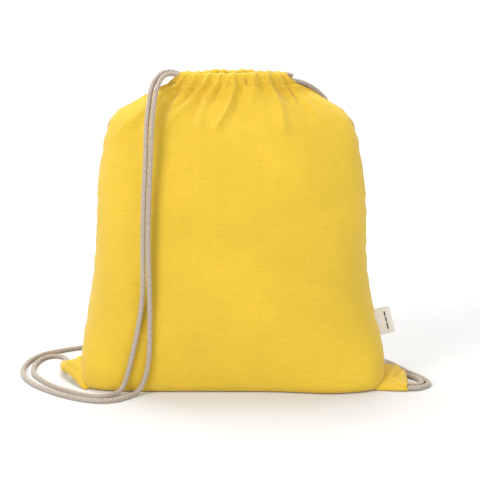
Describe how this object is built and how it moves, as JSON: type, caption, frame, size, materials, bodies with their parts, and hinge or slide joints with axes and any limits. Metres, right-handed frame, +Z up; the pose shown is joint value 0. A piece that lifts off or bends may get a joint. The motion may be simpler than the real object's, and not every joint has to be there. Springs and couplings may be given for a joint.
{
  "type": "drawstring backpack",
  "caption": "Flat-cut cotton sack gathered at the mouth by two braided cords that run through hemmed casings and down to corner tunnels as shoulder straps.",
  "frame": {"origin": "on the surface that the bag stands on, below the middle of its mouth", "axes": "+X across the bag to its right side as seen from the front, +Y to its back, +Z up"},
  "size_m": [0.4499, 0.2567, 0.3364],
  "materials": {
    "cotton": "plain-woven recycled cotton, matt, with small slubs",
    "seam_allowance": "raw folded cotton edges, overlocked",
    "cord": "braided natural cotton, matt",
    "thread": "spun polyester sewing thread",
    "label_tape": "folded woven cotton tape"
  },
  "bodies": {
    "sack": {"front_panel": "cotton", "back_panel": "cotton", "left_side_seam": "seam_allowance", "right_side_seam": "seam_allowance", "bottom_seam": "seam_allowance", "left_corner": "cotton", "right_corner": "cotton", "left_cord_return": "cord", "right_cord_return": "cord", "label_stitching": "thread", "left_strap_front_strand": "cord", "left_strap_back_strand": "cord", "right_strap_front_strand": "cord", "right_strap_back_strand": "cord", "left_knot": "cord", "right_knot": "cord"},
    "front_lip": {"front_casing": "cotton", "front_casing_stitching": "thread", "left_cord_front_run": "cord", "right_cord_front_run": "cord"},
    "back_lip": {"back_casing": "cotton", "back_casing_stitching": "thread", "left_cord_back_run": "cord", "right_cord_back_run": "cord"},
    "label": {"side_label": "label_tape"}
  },
  "joints": [
    {"name": "lip_front_open", "type": "hinge", "parent": "sack", "child": "front_lip", "pos_m": [0, -0.0206, 0.321], "axis": [1, 0, 0], "range_deg": [0, 20], "stiffness_Nm_per_rad": 0.02},
    {"name": "lip_back_open", "type": "hinge", "parent": "sack", "child": "back_lip", "pos_m": [0, 0.0206, 0.321], "axis": [-1, 0, 0], "range_deg": [0, 20], "stiffness_Nm_per_rad": 0.02},
    {"name": "label_flap", "type": "hinge", "parent": "sack", "child": "label", "pos_m": [0.1622, 0, 0.046], "axis": [-0.2501, 0, 0.9682], "range_deg": [-70, 70], "stiffness_Nm_per_rad": 0.001}
  ]
}
